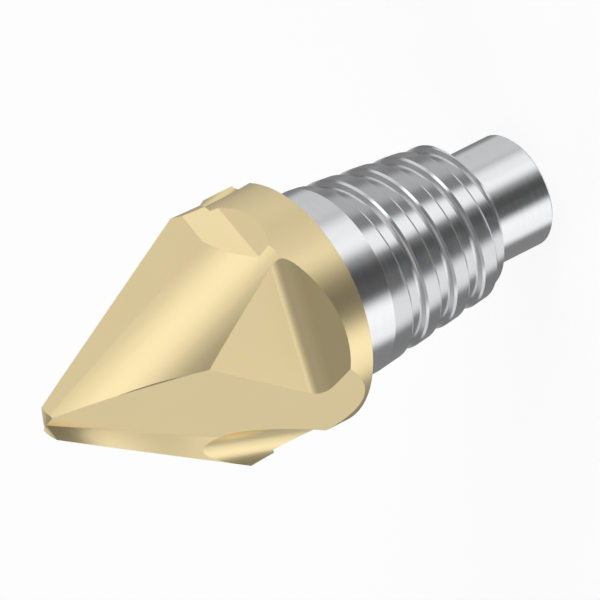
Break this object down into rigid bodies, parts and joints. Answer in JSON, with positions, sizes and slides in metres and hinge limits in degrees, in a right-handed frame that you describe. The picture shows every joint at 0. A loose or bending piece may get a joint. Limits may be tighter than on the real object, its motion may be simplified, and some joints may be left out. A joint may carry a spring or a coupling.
{
  "type": "chamfer mill",
  "caption": "Exchangeable solid carbide chamfer-milling head: pointed fluted cutting cone, flange seat, and a tapered threaded coupling with a pilot.",
  "frame": {"origin": "centre of the pilot's rear face, on the tool axis", "axes": "+Z along the tool axis towards the tip, +X towards one cutting edge"},
  "size_m": [0.012, 0.0116, 0.0276],
  "materials": {
    "carbide": "ground cemented carbide, pale gold hard coating from the flange to the tip, bare bright metal on the coupling"
  },
  "bodies": {
    "root": {"mill_head": "carbide"}
  },
  "joints": []
}
